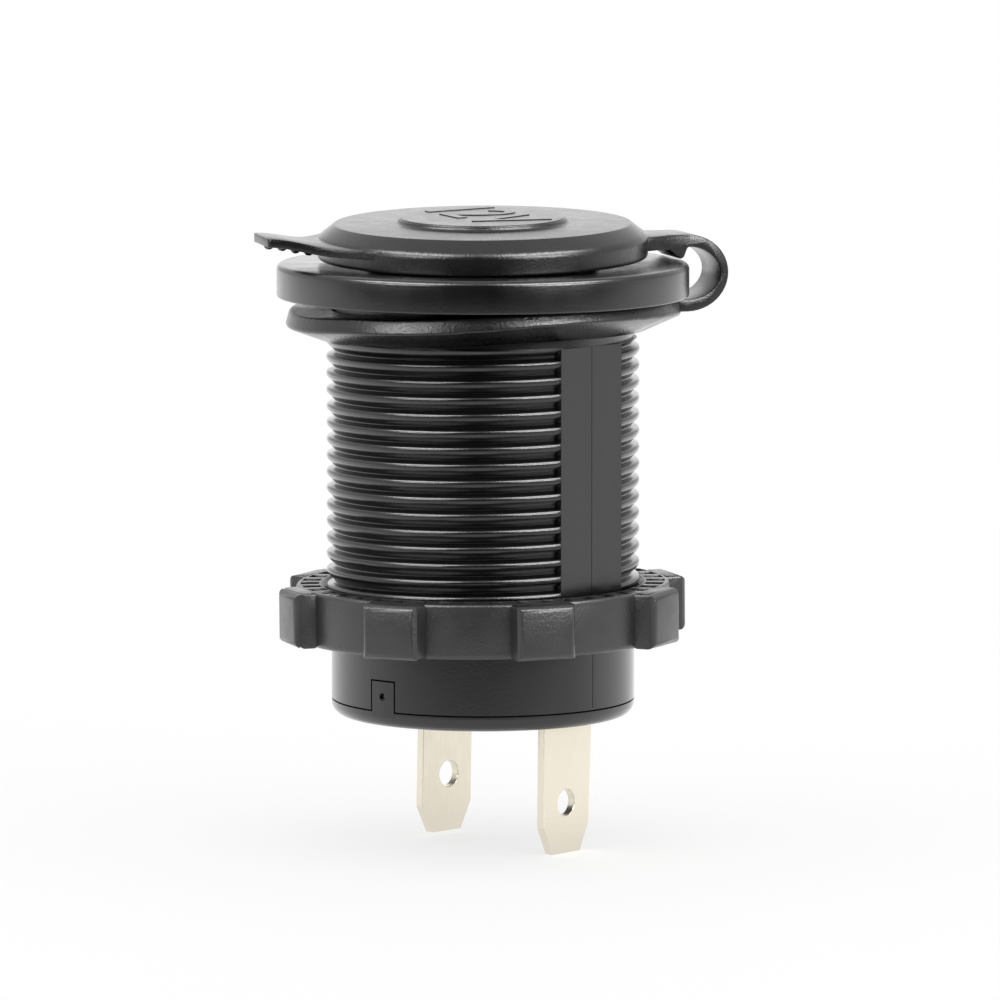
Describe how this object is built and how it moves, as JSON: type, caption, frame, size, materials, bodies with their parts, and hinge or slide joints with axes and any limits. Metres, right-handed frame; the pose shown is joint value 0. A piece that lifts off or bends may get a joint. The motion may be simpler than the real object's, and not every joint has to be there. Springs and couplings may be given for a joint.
{
  "type": "car 12v power socket",
  "caption": "Panel-mount car power socket: threaded barrel with flange and ring nut, metal sleeve with centre contact, blade terminals and a rubber dust cap on a strap and retaining ring",
  "frame": {"origin": "on the barrel's axis, in the plane of the flange's underside", "axes": "+Z out of the mouth, +X square to the barrel's first flat and towards the negative blade, +Y completes a right-handed frame"},
  "size_m": [0.0375, 0.0403, 0.0574],
  "materials": {
    "moulded_plastic": "black glass-filled nylon, satin on the barrel, fine grain on the flange",
    "sleeve_metal": "nickel-plated deep-drawn steel",
    "insulator": "natural phenolic fibre",
    "contact_brass": "plain turned brass",
    "rivet_metal": "nickel-plated brass",
    "plated_brass": "tin-plated brass, satin",
    "base_plastic": "black nylon, semi-gloss",
    "nut_plastic": "black nylon, semi-matte",
    "cap_rubber": "black thermoplastic rubber, satin",
    "strap_rubber": "black thermoplastic rubber, satin",
    "ring_rubber": "black thermoplastic rubber, matt"
  },
  "bodies": {
    "socket": {"housing": "moulded_plastic", "sleeve": "sleeve_metal", "upper_washer": "insulator", "centre_contact": "contact_brass", "centre_rivet": "rivet_metal", "lower_disc": "insulator", "positive_terminal": "plated_brass", "negative_terminal": "plated_brass", "earth_rivet": "rivet_metal", "base_cap": "base_plastic"},
    "nut": {"ring_nut": "nut_plastic"},
    "ring": {"retaining_ring": "ring_rubber", "strap": "strap_rubber"},
    "cap": {"dust_cap": "cap_rubber"}
  },
  "joints": [
    {"name": "nut_travel", "type": "slide", "parent": "socket", "child": "nut", "axis": [0, 0, 1], "range_m": [-0.0055, 0.0215]},
    {"name": "ring_turn", "type": "hinge", "parent": "socket", "child": "ring", "pos_m": [0, 0, 0], "axis": [0, 0, 1], "continuous": true},
    {"name": "cap_swing", "type": "hinge", "parent": "ring", "child": "cap", "pos_m": [0.01145, 0.02109, 0.0016], "axis": [-0.8788, 0.4772, 0], "range_deg": [0, 150], "deforming": ["strap"]}
  ]
}
